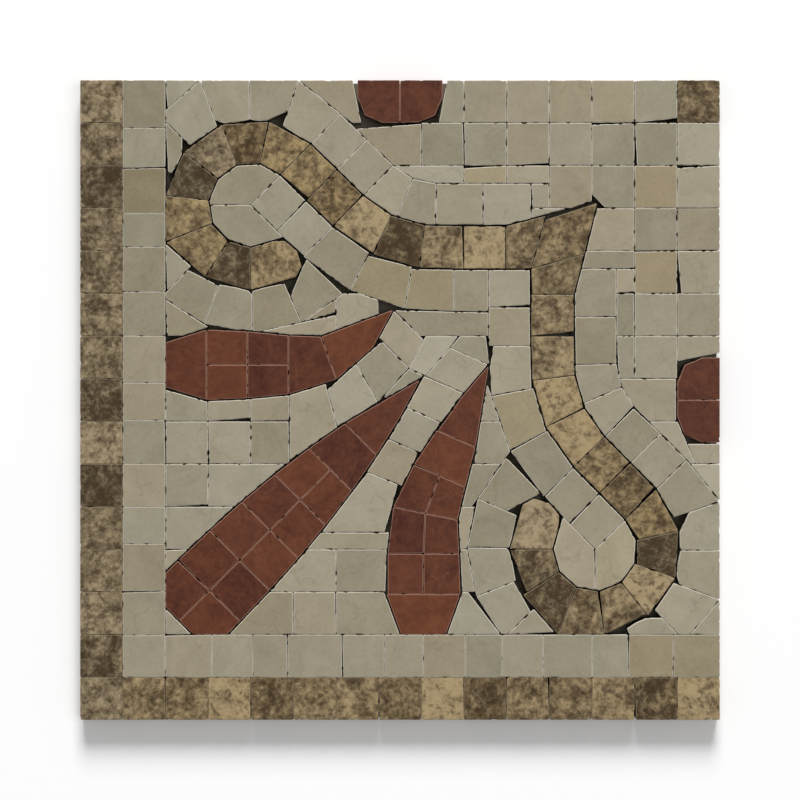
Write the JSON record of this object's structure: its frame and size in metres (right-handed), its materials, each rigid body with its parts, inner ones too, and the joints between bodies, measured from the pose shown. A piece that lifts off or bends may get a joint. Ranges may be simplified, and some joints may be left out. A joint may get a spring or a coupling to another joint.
{
  "type": "marble mosaic border corner tile",
  "caption": "Square corner tile of a mosaic floor border: hand-cut marble chips on a mesh sheet, with brown frame and mirrored scrolls, red petals and cream ground.",
  "frame": {"origin": "centre of the underside, on the surface that the tile lies on", "axes": "+X to the right along the framed bottom side, +Y up along the framed left side, +Z out of the face"},
  "size_m": [0.2998, 0.2998, 0.01],
  "materials": {
    "cream_marble": "honed",
    "brown_marble": "honed",
    "red_marble": "honed",
    "glass_fibre_mesh": "open weave"
  },
  "bodies": {
    "root": {"left_border_chips": "cream_marble", "bottom_border_chips": "cream_marble", "upper_eye_chips": "cream_marble", "right_eye_chips": "cream_marble", "upper_inner_course_chips": "cream_marble", "right_inner_course_chips": "cream_marble", "upper_outer_course_chips": "cream_marble", "right_outer_course_chips": "cream_marble", "palmette_ground_chips": "cream_marble", "outer_ground_chips": "cream_marble", "left_frame_chips": "brown_marble", "bottom_frame_chips": "brown_marble", "inner_corner_chip": "brown_marble", "upper_scroll_chips": "brown_marble", "right_scroll_chips": "brown_marble", "scroll_tip_chip": "brown_marble", "left_petal_chips": "red_marble", "middle_petal_chips": "red_marble", "lower_petal_chips": "red_marble", "top_bud_chips": "red_marble", "right_bud_chips": "red_marble", "mesh_backing": "glass_fibre_mesh"}
  },
  "joints": []
}
